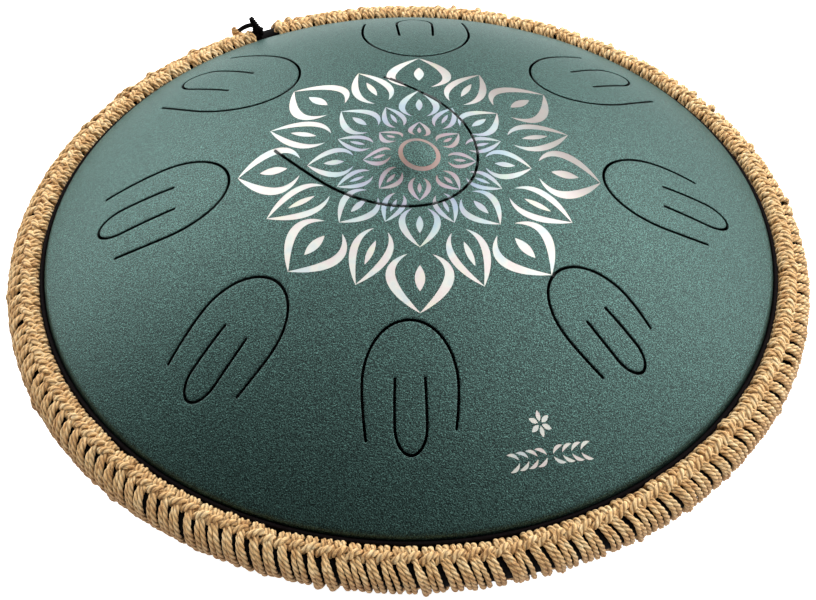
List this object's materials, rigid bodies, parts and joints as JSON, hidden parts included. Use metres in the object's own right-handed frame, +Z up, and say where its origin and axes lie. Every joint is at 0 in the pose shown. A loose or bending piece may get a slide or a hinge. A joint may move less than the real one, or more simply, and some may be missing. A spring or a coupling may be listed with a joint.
{
  "type": "steel tongue drum",
  "caption": "Round two-bowl steel drum with slotted tongues on the upper bowl, a sound port underneath and a knotted rope binding round the rim.",
  "frame": {"origin": "bottom centre, on the surface that the drum stands on, on the drum's axis", "axes": "+Z up through the crown of the upper bowl, +X to the player's right, +Y away from the player"},
  "size_m": [0.41, 0.41, 0.1701],
  "materials": {
    "coated_steel": "satin, finely wrinkled powder coat",
    "adhesive": "cured bond line",
    "edge_rubber": "matte",
    "jute_rope": "twisted natural fibre",
    "dark_cord": "fine braided cord"
  },
  "bodies": {
    "root": {"tongue_shell": "coated_steel", "resonator_shell": "coated_steel", "flange_bond": "adhesive", "rim_bumper": "edge_rubber", "rope_wrap": "jute_rope", "upper_knot_chain": "jute_rope", "lower_knot_chain": "jute_rope", "rope_tail": "jute_rope", "upper_draw_cord": "dark_cord", "lower_draw_cord": "dark_cord", "tie_knot": "dark_cord", "tie_loop": "dark_cord", "tie_tail": "dark_cord"}
  },
  "joints": []
}
